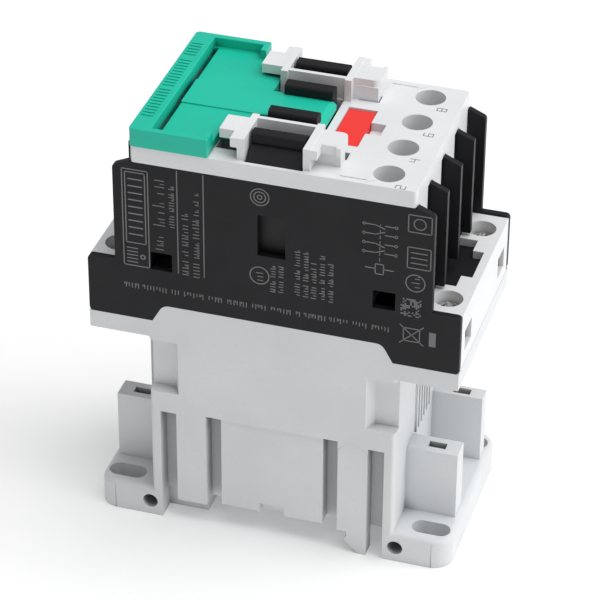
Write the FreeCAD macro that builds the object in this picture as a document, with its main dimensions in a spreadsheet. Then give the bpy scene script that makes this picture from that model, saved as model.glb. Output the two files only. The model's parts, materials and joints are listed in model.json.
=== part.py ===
import FreeCAD, Part
import math
import os
import re

import Sketcher
from FreeCAD import Placement, Rotation, Vector

# A four-pole DC contactor, 45 mm wide, with two normally open and two normally closed poles.
# Origin: middle of the mounting face. +X: towards the load-side terminals. +Z: to the front.
# Y runs across the poles. Every length is in millimetres.

SIZES = {
    # housing envelope
    "half_width": 22.5,
    "body_reach": 28.7,
    "foot_reach": 42.0,
    "shoulder_reach": 42.4,
    "fit_gap": 0.05,
    "wall_thick": 1.6,
    # feet and rail channel
    "foot_inner": 26.3,
    "foot_height": 7.4,
    "foot_corner": 4.5,
    "foot_edge": 1.5,
    "parting_along": 37.8,
    "parting_wide": 0.15,
    "parting_deep": 0.15,
    "slot_middle": 36.4,
    "slot_across": 17.5,
    "slot_half_wide": 2.3,
    "slot_length": 9.0,
    "side_hole_along": 29.3,
    "side_hole_height": 3.75,
    "side_hole_radius": 1.8,
    "side_hole_depth": 8.0,
    "rail_half": 17.8,
    "rail_seat": 5.7,
    "hook_tip": 16.8,
    "hook_low": 2.2,
    "hook_high": 4.2,
    "hook_half": 17.3,
    "tower_reach": 40.6,
    "tower_top": 24.7,
    "near_tower_low": -12.0,
    "near_tower_high": -6.5,
    "far_tower_low": 11.0,
    "far_tower_high": 14.9,
    "tower_pocket_low": 33.2,
    "tower_pocket_high": 37.3,
    "tower_pocket_wide": 2.1,
    "tower_pocket_deep": 3.5,
    # lower body walls
    "side_slot_top": 29.9,
    "panel_top": 30.6,
    "panel_half": 12.0,
    "panel_low": 6.4,
    "panel_depth": 0.5,
    "panel_slot_outer": 15.5,
    "strip_outer": 22.5,
    "side_slot_outer": 26.3,
    "side_slot_depth": 4.2,
    "notch_half": 2.95,
    "notch_top": 8.65,
    "notch_depth": 2.0,
    "corner_pocket_low": 35.3,
    "corner_pocket_high": 49.1,
    "corner_pocket_inner": 21.8,
    "corner_pocket_slope": 1.5,
    "corner_pocket_deep": 2.9,
    "corner_round": 1.0,
    "end_rib_pitch": 2.3,
    "end_rib_wide": 1.0,
    "end_rib_proud": 0.5,
    "end_rib_low": 24.0,
    "floor_top": 9.5,
    "coil_cavity_long": 20.3,
    "coil_cavity_wide": 17.0,
    "yoke_cavity_long": 26.7,
    "yoke_cavity_wide": 12.0,
    # shoulder band and contact chamber
    "band_low": 50.0,
    "band_floor": 51.5,
    "band_top": 54.3,
    "ramp_outer": 27.6,
    "ramp_inner": 25.05,
    "arch_top": 58.75,
    "arch_round": 2.4,
    "shoulder_top": 68.9,
    "fin_reach": 35.95,
    "fin_inner": 31.95,
    "fin_edge_top": 93.05,
    "fin_top": 94.8,
    "cover_seat": 94.45,
    "plate_wall": 1.5,
    "pole_pitch": 11.35,
    "chamber_reach": 19.0,
    "chamber_low": 59.0,
    "channel_floor": 69.8,
    "carrier_passage": 5.2,
    "window_low": 67.9,
    "window_high": 72.4,
    "window_inner": 22.7,
    "window_outer": 27.8,
    "centre_window_half": 3.15,
    "centre_window_low": 76.2,
    "centre_window_high": 86.35,
    "window_recess": 6.0,
    "tongue_reach": 40.4,
    "tongue_half": 5.2,
    "tongue_root_reach": 37.9,
    "tongue_root_half": 9.6,
    "tongue_top": 66.5,
    # front rails
    "rail_head_low": 101.1,
    "rail_head_top": 103.6,
    "rail_head_round": 1.1,
    "inner_rail_long": 5.5,
    "inner_head_low": 4.35,
    "inner_web_low": 5.4,
    "inner_head_high": 7.7,
    "outer_rail_long": 6.0,
    "outer_head_low": 14.5,
    "outer_web_low": 14.9,
    "outer_head_high": 17.9,
    "outer_neck_high": 17.5,
    "outer_neck_top": 100.9,
    "outer_foot_high": 21.4,
    "outer_foot_top": 98.0,
    # end shrouds and coil terminals
    "shroud_inner": 33.8,
    "shroud_top": 68.4,
    "shroud_half": 20.9,
    "coil_screw_along": 37.65,
    "coil_screw_across": 14.9,
    "coil_well_radius": 3.2,
    "coil_well_floor": 64.6,
    "coil_bay_half": 3.3,
    "wire_gate_half": 2.9,
    "wire_gate_low": 57.5,
    "wire_gate_high": 62.8,
    "coil_plate_low": 57.6,
    "coil_plate_thick": 1.0,
    "coil_plate_half": 2.9,
    "coil_clamp_low": 62.95,
    "coil_clamp_thick": 1.3,
    "coil_head_radius": 2.9,
    "coil_head_top": 66.5,
    "coil_shank_radius": 1.45,
    "coil_shank_low": 57.0,
    # main terminals
    "main_screw_along": 24.25,
    "strip_half": 3.3,
    "strip_thick": 1.5,
    "strip_terminal_low": 75.0,
    "strip_reach": 30.5,
    "strip_inner_end": 7.0,
    "open_strip_low": 72.5,
    "closed_strip_low": 76.5,
    "tip_along": 9.5,
    "tip_radius": 1.9,
    "tip_thick": 1.0,
    "main_clamp_low": 80.2,
    "main_clamp_thick": 1.4,
    "main_clamp_half": 3.6,
    "main_head_radius": 3.1,
    "main_head_top": 84.3,
    "main_shank_radius": 1.95,
    "main_shank_low": 74.0,
    "recess_wide": 0.9,
    "recess_long": 3.6,
    "recess_deep": 1.2,
    # front cover
    "cover_reach": 31.8,
    "cover_low": 94.5,
    "cover_top": 98.5,
    "cover_corner": 0.8,
    "driver_hole_radius": 3.4,
    "driver_tube_radius": 3.9,
    "driver_tube_low": 86.5,
    "end_tab_thick": 1.3,
    "end_tab_low": 86.9,
    "end_tab_half": 3.9,
    "front_open_half": 10.2,
    "front_open_right": 6.45,
    "front_open_left": 14.1,
    "outer_open_half": 6.6,
    "outer_open_low": 11.7,
    "outer_open_high": 21.6,
    "lug_open_inner": 8.4,
    "lug_open_outer": 14.1,
    "lug_open_low": 11.3,
    "lug_open_high": 17.6,
    "tip_open_inner": 9.3,
    "tip_open_high": 14.3,
    "frame_top": 103.7,
    "divider_low": 10.6,
    "divider_high": 11.6,
    "post_inner": 6.5,
    "post_outer": 8.1,
    "post_low": 9.9,
    "post_high": 21.2,
    "lobe_reach": 9.6,
    "lug_low": 11.8,
    "lug_high": 18.0,
    "lug_under": 101.4,
    "lug_top": 103.6,
    "line_lug_reach": 13.0,
    "load_lug_reach": 14.05,
    "lug_round": 1.6,
    "lug_tip_inner": 13.0,
    "lug_tip_high": 18.7,
    "lug_base_reach": 13.8,
    "near_base_low": 14.35,
    "far_base_low": 11.55,
    "lug_base_high": 17.7,
    "grip_pocket_reach": 18.2,
    "grip_pocket_half": 2.45,
    "grip_pocket_floor": 96.6,
    # indicator
    "flag_left": 8.4,
    "flag_right": 14.7,
    "flag_far": 7.6,
    "flag_near": 8.2,
    "flag_top": 98.1,
    "flag_gap": 0.15,
    # slide cover
    "guard_left": 31.9,
    "guard_right": 14.2,
    "guard_half": 22.9,
    "guard_low": 98.55,
    "guard_floor": 100.6,
    "guard_top": 103.0,
    "guard_rim": 1.6,
    "guard_grip_right": 27.1,
    "guard_slot_right": 26.1,
    "guard_slot_half": 20.8,
    "guard_ear_low": 18.7,
    "guard_ear_wide": 1.4,
    "guard_step_right": 8.4,
    "guard_step_half": 14.5,
    "guard_tongue_half": 5.3,
    "guard_tongue_top": 101.05,
    "guard_tongue_reach": 6.2,
    "guard_bevel_start": 4.9,
    "guard_bevel_low": 100.0,
    # magnet system
    "pad_low": 9.55,
    "pad_high": 12.95,
    "pad_long": 20.0,
    "pad_wide": 10.0,
    "yoke_low": 13.0,
    "yoke_thick": 3.0,
    "yoke_reach": 25.6,
    "yoke_half": 11.5,
    "yoke_top": 45.0,
    "core_radius": 5.85,
    "core_top": 20.5,
    "plunger_low": 25.05,
    "plunger_top": 52.95,
    "plunger_neck": 3.0,
    "bobbin_low": 16.1,
    "bobbin_high": 41.9,
    "bobbin_flange": 1.2,
    "bobbin_bore": 5.95,
    "bobbin_tube": 7.2,
    "bobbin_long": 20.0,
    "bobbin_wide": 16.5,
    "winding_radius": 15.8,
    "lead_along": 19.0,
    "lead_half": 0.5,
    "lead_top": 53.4,
    "lead_level": 52.6,
    "lead_end": 34.4,
    # contact carrier
    "carrier_low": 53.0,
    "carrier_foot_top": 57.0,
    "carrier_foot_long": 12.0,
    "carrier_foot_wide": 14.0,
    "carrier_half": 4.6,
    "carrier_wide": 20.1,
    "carrier_top": 90.0,
    "carrier_arm_low": 87.5,
    "carrier_arm_half": 7.5,
    "open_window_low": 78.95,
    "open_window_high": 86.25,
    "closed_window_low": 67.25,
    "closed_window_high": 76.1,
    "bar_window_half": 2.4,
    "bar_half_wide": 2.2,
    "bar_half_long": 12.0,
    "bar_thick": 1.2,
    "open_bar_low": 79.0,
    "closed_bar_low": 73.3,
    "bridge_tip_thick": 0.95,
    "joint_pin_radius": 1.0,
    "joint_pin_half": 5.6,
    "joint_pin_height": 55.0,
    "contact_spring_radius": 1.7,
    "contact_spring_wire": 0.4,
    "contact_spring_length": 5.9,
    "return_spring_radius": 8.0,
    "return_spring_wire": 0.8,
    "return_spring_low": 45.05,
    "return_spring_high": 52.95,
    # snap arms
    "arm_middle": 19.0,
    "arm_pivot_height": 27.0,
    "arm_half": 3.45,
    "arm_hook_tip": 17.4,
    "arm_hook_edge": 17.83,
    "arm_hook_high": 4.3,
    "arm_hook_low": 3.3,
    "arm_toe": 20.8,
}

TURN = {
    "x": Rotation(Vector(0, 1, 0), 90),
    "y": Rotation(Vector(1, 0, 0), -90),
    "z": Rotation(),
}
NORMAL = {"x": Vector(1, 0, 0), "y": Vector(0, 1, 0), "z": Vector(0, 0, 1)}
PLANE_AXIS = {"XY": "z", "XZ": "y", "YZ": "x"}
SIZE_NAME = re.compile(r"[a-z]+(?:_[a-z]+)+")
CONTACT_SPRING_TURNS = 5
RETURN_SPRING_TURNS = 4
POLES = (-1.5, -0.5, 0.5, 1.5)
OPEN_POLES = (-0.5, 0.5)
CLOSED_POLES = (-1.5, 1.5)
ENDS = {"line": -1, "load": 1}
SIDES = {"near": -1, "far": 1}

document = FreeCAD.newDocument("Contactor")
pieces = []


def write_sheet():
    sheet = document.addObject("Spreadsheet::Sheet", "Sizes")
    for row, (alias, value) in enumerate(SIZES.items(), start=1):
        sheet.set(f"A{row}", alias)
        sheet.set(f"B{row}", str(value))
        sheet.setAlias(f"B{row}", alias)
    document.recompute()


def linked(amount):
    """The amount as an expression that reads the size sheet."""
    return SIZE_NAME.sub(lambda found: "Sizes." + found.group(0), str(amount))


def both(amount):
    """The span from minus the amount to plus the amount."""
    return f"-({amount})", amount


def ordered(sign, low, high):
    """The span from low to high, on the side that the sign names."""
    return (low, high) if sign > 0 else (f"-({high})", f"-({low})")


def pole_centre(pole):
    return f"{pole} * pole_pitch"


def around(centre, half):
    return f"{centre} - {half}", f"{centre} + {half}"


# ---- building blocks ----------------------------------------------------------------------


def block(x, y, z):
    """A box between the low and high end given for each axis."""
    item = document.addObject("Part::Box", "Block")
    for size, axis, (low, high) in zip(("Length", "Width", "Height"), "xyz", (x, y, z)):
        item.setExpression(size, linked(f"({high}) - ({low})"))
        item.setExpression(f"Placement.Base.{axis}", linked(low))
    return item


def rod(axis, centre, radius, span):
    """A cylinder along an axis; centre holds its other two coordinates in x, y, z order."""
    low, high = span
    item = document.addObject("Part::Cylinder", "Rod")
    item.Placement = Placement(Vector(), TURN[axis])
    item.setExpression("Radius", linked(radius))
    item.setExpression("Height", linked(f"({high}) - ({low})"))
    place = dict(zip([name for name in "xyz" if name != axis], centre))
    place[axis] = low
    for name, amount in place.items():
        item.setExpression(f"Placement.Base.{name}", linked(amount))
    return item


def outline_sketch(body, plane, outline):
    """A closed outline on one of the body's own planes; two bound distances hold each corner."""
    sketch = body.newObject("Sketcher::SketchObject", "Outline")
    origin = [item for item in body.Origin.OriginFeatures if item.Role == f"{plane}_Plane"]
    sketch.AttachmentSupport = (origin[0], [""])
    sketch.MapMode = "FlatFace"
    count = len(outline)
    turn = 2 * math.pi / count
    start = [Vector(math.cos(turn * i), math.sin(turn * i), 0) for i in range(count)]
    for index in range(count):
        sketch.addGeometry(Part.LineSegment(start[index], start[(index + 1) % count]))
    for index in range(count):
        joint = Sketcher.Constraint("Coincident", index, 2, (index + 1) % count, 1)
        sketch.addConstraint(joint)
    for index, corner in enumerate(outline):
        for kind, amount, guess in zip(("DistanceX", "DistanceY"), corner, start[index]):
            held = sketch.addConstraint(Sketcher.Constraint(kind, -1, 1, index, 1, guess))
            sketch.setExpression(f"Constraints[{held}]", linked(amount))
    return sketch


def corner_edges(solid, axis, places):
    """The names of the edges along the axis that pass through the given places."""
    direction = NORMAL[axis]
    names = []
    for number, edge in enumerate(solid.Edges, start=1):
        along = edge.tangentAt(edge.FirstParameter).cross(direction).Length < 1e-6
        start = edge.Vertexes[0].Point
        near = any((start - place).cross(direction).Length < 1e-3 for place in places)
        if along and near:
            names.append(f"Edge{number}")
    return names


def prism(plane, outline, span, radius=None, rounded=()):
    """An outline padded from low to high along its plane's axis, with some corners rounded."""
    low, high = span
    body = document.addObject("PartDesign::Body", "Profile")
    sketch = outline_sketch(body, plane, outline)
    start = f"-({high})" if plane == "XZ" else low
    sketch.setExpression("AttachmentOffset.Base.z", linked(start))
    pad = body.newObject("PartDesign::Pad", "Thickness")
    pad.Profile = sketch
    pad.setExpression("Length", linked(f"({high}) - ({low})"))
    if rounded:
        document.recompute()
        places = [sketch.Placement.multVec(sketch.Geometry[i].StartPoint) for i in rounded]
        fillet = body.newObject("PartDesign::Fillet", "Corners")
        fillet.Base = (pad, corner_edges(pad.Shape, PLANE_AXIS[plane], places))
        fillet.setExpression("Radius", linked(radius))
    return body


def rectangle(low_corner, high_corner):
    (left, bottom), (right, top) = low_corner, high_corner
    return [(left, bottom), (right, bottom), (right, top), (left, top)]


def fuse(*items):
    item = document.addObject("Part::MultiFuse", "Joined")
    item.Shapes = list(items)
    return item


def cut(base, *tools):
    item = document.addObject("Part::Cut", "Trimmed")
    item.Base = base
    item.Tool = tools[0] if len(tools) == 1 else fuse(*tools)
    return item


def group(*items):
    """Separate solids that share one sub-part."""
    item = document.addObject("Part::Compound", "Group")
    item.Links = list(items)
    return item


def mirror(original, axis):
    item = document.addObject("Part::Mirroring", "Mirrored")
    item.Source = original
    item.Normal = NORMAL[axis]
    item.Base = Vector(0, 0, 0)
    return item


def spring(radius, wire, length, turns):
    """A closed coil of round wire that stands on z = 0."""
    rise = length - wire
    helix = Part.makeLongHelix(rise / turns, rise, radius)
    section = Part.Wire(Part.makeCircle(wire / 2, Vector(radius, 0, 0), Vector(0, 1, 0)))
    coil = Part.Wire(helix).makePipeShell([section], True, True)
    return coil.translated(Vector(0, 0, wire / 2))


def name_piece(item, label):
    item.Label = label
    pieces.append(item)
    return item


# ---- base ---------------------------------------------------------------------------------


def foot():
    """The flange on the load side: two mounting slots, side holes and mould parting lines."""
    slab = prism(
        "XY",
        rectangle(("foot_inner", "-half_width"), ("foot_reach", "half_width")),
        ("0", "foot_height"),
        "foot_corner",
        (1, 2),
    )
    document.recompute()
    rim = []
    for number, edge in enumerate(slab.Shape.Edges, start=1):
        box = edge.BoundBox
        top = box.ZMin > SIZES["foot_height"] - 0.01
        if top and box.XMax > SIZES["foot_inner"] + 1:
            rim.append(f"Edge{number}")
    corners = slab.Tip
    fillet = slab.newObject("PartDesign::Fillet", "Rim")
    fillet.Base = (corners, rim)
    fillet.setExpression("Radius", linked("foot_edge"))
    holes = []
    for sign in SIDES.values():
        across = f"{sign} * slot_across"
        half_straight = "(slot_length / 2 - slot_half_wide)"
        through = ("-1", "foot_height + 1")
        for end in ("-", "+"):
            middle = f"slot_middle {end} {half_straight}"
            holes.append(rod("z", (middle, across), "slot_half_wide", through))
        run = around("slot_middle", half_straight)
        holes.append(block(run, around(across, "slot_half_wide"), through))
        span = ordered(sign, "half_width - side_hole_depth", "half_width + 1")
        centre = ("side_hole_along", "side_hole_height")
        holes.append(rod("y", centre, "side_hole_radius", span))
        skin = ordered(sign, "half_width - parting_deep", "half_width + 1")
        holes.append(block(around("parting_along", "parting_wide / 2"), skin, ("-1", "foot_height + 1")))
    return cut(slab, *holes)


def tower(low, high):
    """A guide upright that stands on the load-side foot against the body."""
    post = block(("body_reach - 1", "tower_reach"), (low, high), ("foot_height - 1", "tower_top"))
    middle = f"({low} + {high}) / 2"
    pocket = block(
        ("tower_pocket_low", "tower_pocket_high"),
        around(middle, "tower_pocket_wide / 2"),
        ("tower_top - tower_pocket_deep", "tower_top + 1"),
    )
    return cut(post, pocket)


def end_ribs():
    ribs = []
    for step in range(-2, 4):
        centre = f"{step} * end_rib_pitch"
        reach = ("body_reach - 1", "body_reach + end_rib_proud")
        height = ("end_rib_low", "band_low + 0.5")
        ribs.append(block(reach, around(centre, "end_rib_wide / 2"), height))
    return fuse(*ribs)


def corner_pocket(sign):
    """The pocket at the load-side end of one side wall, with one sloped side."""
    face = f"{sign} * (half_width + 1)"
    back = f"{sign} * (half_width - corner_pocket_deep)"
    outline = [
        ("corner_pocket_inner - corner_pocket_slope / corner_pocket_deep", face),
        ("body_reach + 1", face),
        ("body_reach + 1", back),
        ("corner_pocket_inner + corner_pocket_slope", back),
    ]
    return prism("XY", outline, ("corner_pocket_low", "corner_pocket_high"))


def wall_cuts(sign):
    """Slots, panel and notch of one side wall."""
    deep = ordered(sign, "half_width - side_slot_depth", "half_width + 1")
    shallow = ordered(sign, "half_width - panel_depth", "half_width + 1")
    below = "rail_seat - 1"
    cuts = [
        block(both("panel_half"), shallow, (below, "panel_top")),
        block(
            both("notch_half"),
            ordered(sign, "half_width - notch_depth", "half_width + 1"),
            (below, "notch_top"),
        ),
        block(("arm_middle - arm_half - fit_gap", "strip_outer"), deep, (below, "arm_pivot_height")),
        rod("y", ("arm_middle", "arm_pivot_height"), "arm_half + fit_gap", deep),
    ]
    for end in ENDS.values():
        inner = ordered(end, "panel_half", "panel_slot_outer")
        outer = ordered(end, "strip_outer", "side_slot_outer")
        cuts.append(block(inner, deep, (below, "panel_top")))
        cuts.append(block(outer, deep, (below, "side_slot_top")))
    return cuts


def fixed_hook():
    """The hook on the line side that catches the edge of the rail."""
    outline = [
        ("-foot_inner - 1", "0"),
        ("-hook_tip", "0"),
        ("-hook_tip", "hook_low"),
        ("-rail_half", "hook_high"),
        ("-rail_half", "rail_seat + 1"),
        ("-foot_inner - 1", "rail_seat + 1"),
    ]
    return prism("XZ", outline, both("hook_half"))


def band():
    """The shoulder band, with the raised middle that fills the arch of the chamber walls."""
    outline = [
        ("-shoulder_reach", "band_low"),
        ("shoulder_reach", "band_low"),
        ("shoulder_reach", "band_top"),
        ("ramp_outer", "band_top"),
        ("ramp_inner", "arch_top"),
        ("-ramp_inner", "arch_top"),
        ("-ramp_outer", "band_top"),
        ("-shoulder_reach", "band_top"),
    ]
    return prism("XZ", outline, both("half_width"), "arch_round", (4, 5))


def base_housing():
    body = prism(
        "XY",
        rectangle(("-body_reach", "-half_width"), ("body_reach", "half_width")),
        ("rail_seat", "band_low + 0.5"),
        "corner_round",
        (0, 1, 2, 3),
    )
    end = fuse(
        foot(),
        tower("near_tower_low", "near_tower_high"),
        tower("far_tower_low", "far_tower_high"),
        end_ribs(),
    )
    shell = fuse(body, band(), end, mirror(end, "x"), fixed_hook())
    inner_width = "half_width - wall_thick"
    cuts = [
        block(both("panel_half"), both("half_width + 1"), ("rail_seat - 1", "panel_low")),
        block(both("coil_cavity_long"), both("coil_cavity_wide"), ("floor_top", "arch_top + 1")),
        block(both("yoke_cavity_long"), both("yoke_cavity_wide"), ("floor_top", "band_top")),
        block(both("shoulder_reach - wall_thick"), both(inner_width), ("band_floor", "band_top + 1")),
        block(both("ramp_inner - wall_thick"), both(inner_width), ("band_floor", "arch_top + 1")),
    ]
    for sign in SIDES.values():
        pocket = corner_pocket(sign)
        cuts.extend([pocket, mirror(pocket, "x")])
        cuts.extend(wall_cuts(sign))
    name_piece(cut(shell, *cuts), "base_housing")


def rail_snap_arms():
    outline = [
        ("arm_middle - arm_half", "rail_seat"),
        ("arm_hook_edge", "rail_seat"),
        ("arm_hook_edge", "arm_hook_high"),
        ("arm_hook_tip", "arm_hook_high - 0.4"),
        ("arm_hook_tip", "arm_hook_low"),
        ("arm_toe", "0"),
        ("arm_middle + arm_half", "0"),
        ("arm_middle + arm_half", "arm_pivot_height"),
        ("arm_middle - arm_half", "arm_pivot_height"),
    ]
    depth = ("half_width - side_slot_depth + fit_gap", "half_width - fit_gap")
    strip = prism("XZ", outline, depth)
    shoulder = rod("y", ("arm_middle", "arm_pivot_height"), "arm_half", depth)
    arm = fuse(strip, shoulder)
    name_piece(group(arm, mirror(arm, "y")), "rail_snap_arms")


# ---- contact chamber ----------------------------------------------------------------------


def arch():
    """The room over the base's raised middle."""
    outline = [
        ("-ramp_outer", "band_top + fit_gap"),
        ("-ramp_outer", "band_floor"),
        ("ramp_outer", "band_floor"),
        ("ramp_outer", "band_top + fit_gap"),
        ("ramp_inner", "arch_top + fit_gap"),
        ("-ramp_inner", "arch_top + fit_gap"),
    ]
    return prism("XZ", outline, both("half_width + 1"), "arch_round", (4, 5))


def chamber_side(sign):
    """One outer wall: stepped shoulders, sloped tops and the arch over the base."""
    right = [
        ("shoulder_reach", "band_top + fit_gap"),
        ("shoulder_reach", "shoulder_top"),
        ("fin_reach", "shoulder_top"),
        ("fin_reach", "fin_edge_top"),
        ("fin_inner", "fin_top"),
        ("fin_inner", "cover_seat"),
    ]
    left = [(f"-{along}", height) for along, height in reversed(right)]
    span = ordered(sign, "half_width - plate_wall", "half_width")
    wall = prism("XZ", right + left, span, "corner_round", (0, 1, 3, 8, 10, 11))
    return cut(wall, arch())


def side_windows(sign):
    """The three windows of one outer wall, sunk into the chamber behind them."""
    through = ordered(sign, "half_width - window_recess", "half_width + 1")
    windows = [block(both("centre_window_half"), through, ("centre_window_low", "centre_window_high"))]
    for end in ENDS.values():
        along = ordered(end, "window_inner", "window_outer")
        windows.append(block(along, through, ("window_low", "window_high")))
    return fuse(*windows)


def barrier(step):
    """A wall between two poles, from one row of terminals to the other."""
    right = [
        ("chamber_reach", "chamber_low"),
        ("chamber_reach", "channel_floor - 0.5"),
        ("fin_reach", "channel_floor - 0.5"),
        ("fin_reach", "fin_edge_top"),
        ("fin_inner", "fin_top"),
        ("fin_inner", "cover_seat"),
    ]
    left = [(f"-{along}", height) for along, height in reversed(right)]
    return prism("XZ", right + left, around(f"{step} * pole_pitch", "plate_wall / 2"))


def contact_slot(end, pole):
    """The gate in the chamber's end wall that a fixed contact passes through."""
    is_open = pole in OPEN_POLES
    low = "open_strip_low" if is_open else "strip_terminal_low"
    high = "strip_terminal_low" if is_open else "closed_strip_low"
    along = ordered(end, "chamber_reach - plate_wall - 0.1", "chamber_reach + 0.1")
    across = around(pole_centre(pole), "(strip_half + fit_gap)")
    return block(along, across, (f"{low} - fit_gap", f"{high} + strip_thick + fit_gap"))


def inner_rail():
    outline = [
        ("inner_web_low", "cover_seat - 0.5"),
        ("inner_head_high", "cover_seat - 0.5"),
        ("inner_head_high", "rail_head_top"),
        ("inner_head_low", "rail_head_top"),
        ("inner_head_low", "rail_head_low"),
        ("inner_web_low", "rail_head_low"),
    ]
    return prism("YZ", outline, both("inner_rail_long"), "rail_head_round", (2, 3))


def outer_rail():
    outline = [
        ("outer_web_low", "cover_seat - 0.5"),
        ("outer_foot_high", "cover_seat - 0.5"),
        ("outer_foot_high", "outer_foot_top"),
        ("outer_neck_high", "outer_neck_top"),
        ("outer_head_high", "rail_head_low + 0.3"),
        ("outer_head_high", "rail_head_top"),
        ("outer_head_low", "rail_head_top"),
        ("outer_head_low", "rail_head_low"),
        ("outer_web_low", "rail_head_low"),
    ]
    return prism("YZ", outline, both("outer_rail_long"), "rail_head_round", (5, 6))


def terminal_floor():
    """The load-side channel floor and the tongue that reaches into the end shroud."""
    inside = both("half_width - plate_wall + 0.2")
    tongue_bottom = "chamber_low + 1"
    return fuse(
        block(
            ("chamber_reach - 0.5", "shroud_inner"), inside, ("channel_floor - plate_wall", "channel_floor")
        ),
        block(("shroud_inner - 0.5", "tongue_reach"), both("tongue_half"), (tongue_bottom, "tongue_top")),
        block(
            ("shroud_inner - 2", "tongue_root_reach"),
            both("tongue_root_half"),
            (tongue_bottom, "tongue_top"),
        ),
        block(
            ("shroud_inner - 2", "shroud_inner - fit_gap"),
            both("tongue_root_half"),
            (tongue_bottom, "channel_floor - 0.5"),
        ),
    )


def contact_chamber():
    inside = both("half_width - plate_wall + 0.2")
    reach = both("chamber_reach")
    end_wall = block(
        ("chamber_reach - plate_wall", "chamber_reach"), inside, ("chamber_low", "cover_seat")
    )
    floor = terminal_floor()
    front_rails = fuse(inner_rail(), outer_rail())
    shell = fuse(
        chamber_side(-1),
        chamber_side(1),
        *[barrier(step) for step in (-1, 0, 1)],
        end_wall,
        mirror(end_wall, "x"),
        block(reach, inside, ("chamber_low", "chamber_low + plate_wall")),
        block(reach, inside, ("cover_seat - plate_wall", "cover_seat")),
        floor,
        mirror(floor, "x"),
        front_rails,
        mirror(front_rails, "y"),
    )
    flag_window = block(
        ("carrier_passage - 0.1", "flag_right + 0.4"),
        ("-flag_near - 0.4", "flag_far + 0.4"),
        ("carrier_arm_low - 5", "cover_seat - plate_wall"),
    )
    flag_opening = block(
        ("flag_left - 0.3", "flag_right + 0.3"),
        ("-flag_near - 0.3", "flag_far + 0.3"),
        ("cover_seat - plate_wall - 1", "cover_seat + 1"),
    )
    passage = block(
        both("carrier_passage"),
        both("half_width - plate_wall"),
        ("chamber_low - 1", "cover_seat - plate_wall"),
    )
    gates = [contact_slot(end, pole) for end in ENDS.values() for pole in POLES]
    windows = [side_windows(sign) for sign in SIDES.values()]
    name_piece(cut(shell, passage, flag_window, flag_opening, *windows, *gates), "contact_chamber")


# ---- front cover, indicator and slide cover -------------------------------------------------


def load_lug():
    """The load-side lug of a front frame, with a round corner and a small tip."""
    outline = [
        ("post_outer - 0.5", "lug_low"),
        ("load_lug_reach", "lug_low"),
        ("load_lug_reach", "lug_tip_high"),
        ("lug_tip_inner", "lug_tip_high"),
        ("lug_tip_inner", "lug_high"),
        ("post_outer - 0.5", "lug_high"),
    ]
    return prism("XY", outline, ("lug_under", "lug_top"), "lug_round", (1,))


def front_frame():
    """The far front frame: a divider between two posts that carry lobes and overhanging lugs."""
    lug_span = ("lug_under", "lug_top")
    parts = [
        block(both("post_inner + 0.5"), ("divider_low", "divider_high"), ("cover_low", "frame_top")),
        block(("-line_lug_reach", "-post_outer + 0.5"), ("lug_low", "lug_high"), lug_span),
        load_lug(),
    ]
    for end in ENDS.values():
        post = ordered(end, "post_inner", "post_outer")
        lobe = ordered(end, "post_outer - 0.5", "lobe_reach")
        parts.append(block(post, ("post_low", "post_high"), ("cover_low", "frame_top")))
        parts.append(block(lobe, ("lug_high - 0.5", "post_high"), lug_span))
    return fuse(*parts)


def lug_base(side, low):
    """The block under a load-side lug."""
    across = ordered(side, low, "lug_base_high")
    return block(("post_outer - 0.5", "lug_base_reach"), across, ("cover_low", "lug_under + 0.5"))


def flag_outline(gap):
    """The indicator's plan shape, grown by a gap."""
    return rectangle(
        (f"flag_left - {gap}", f"-flag_near - {gap}"), (f"flag_right + {gap}", f"flag_far + {gap}")
    )


def cover_openings():
    through = ("cover_low - 1", "cover_top + 1")
    openings = [
        block(("-front_open_left", "front_open_right"), both("front_open_half"), through),
        prism("XY", flag_outline("flag_gap"), through),
        block(
            ("flag_right", "grip_pocket_reach"),
            both("grip_pocket_half"),
            ("grip_pocket_floor", "cover_top + 1"),
        ),
    ]
    for side in SIDES.values():
        across = ordered(side, "outer_open_low", "outer_open_high")
        line_across = ordered(side, "lug_open_low", "lug_open_high")
        load_across = ordered(side, "lug_open_low", "tip_open_high")
        openings.append(block(both("outer_open_half"), across, through))
        openings.append(block(("-lug_open_outer", "-lug_open_inner"), line_across, through))
        openings.append(block(("tip_open_inner", "lug_open_outer"), load_across, through))
    return openings


def front_cover():
    plate = prism(
        "XY",
        rectangle(("-cover_reach", "-half_width"), ("cover_reach", "half_width")),
        ("cover_low", "cover_top"),
        "cover_corner",
        (0, 1, 2, 3),
    )
    tubes = []
    holes = []
    for end in ENDS.values():
        for pole in POLES:
            centre = (f"{end} * main_screw_along", pole_centre(pole))
            tubes.append(rod("z", centre, "driver_tube_radius", ("driver_tube_low", "cover_low + 0.5")))
            holes.append(rod("z", centre, "driver_hole_radius", ("driver_tube_low - 1", "cover_top + 1")))
            along = ordered(end, "cover_reach - end_tab_thick", "cover_reach")
            across = around(pole_centre(pole), "end_tab_half")
            tubes.append(block(along, across, ("end_tab_low", "cover_low + 0.5")))
    trimmed = cut(plate, *cover_openings())
    frame = front_frame()
    bases = [lug_base(-1, "near_base_low"), lug_base(1, "far_base_low")]
    body = fuse(trimmed, frame, mirror(frame, "y"), *bases, *tubes)
    name_piece(cut(body, *holes), "front_cover")


def position_indicator():
    flag = prism("XY", flag_outline("0"), ("carrier_top", "flag_top"))
    name_piece(flag, "position_indicator")


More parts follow.
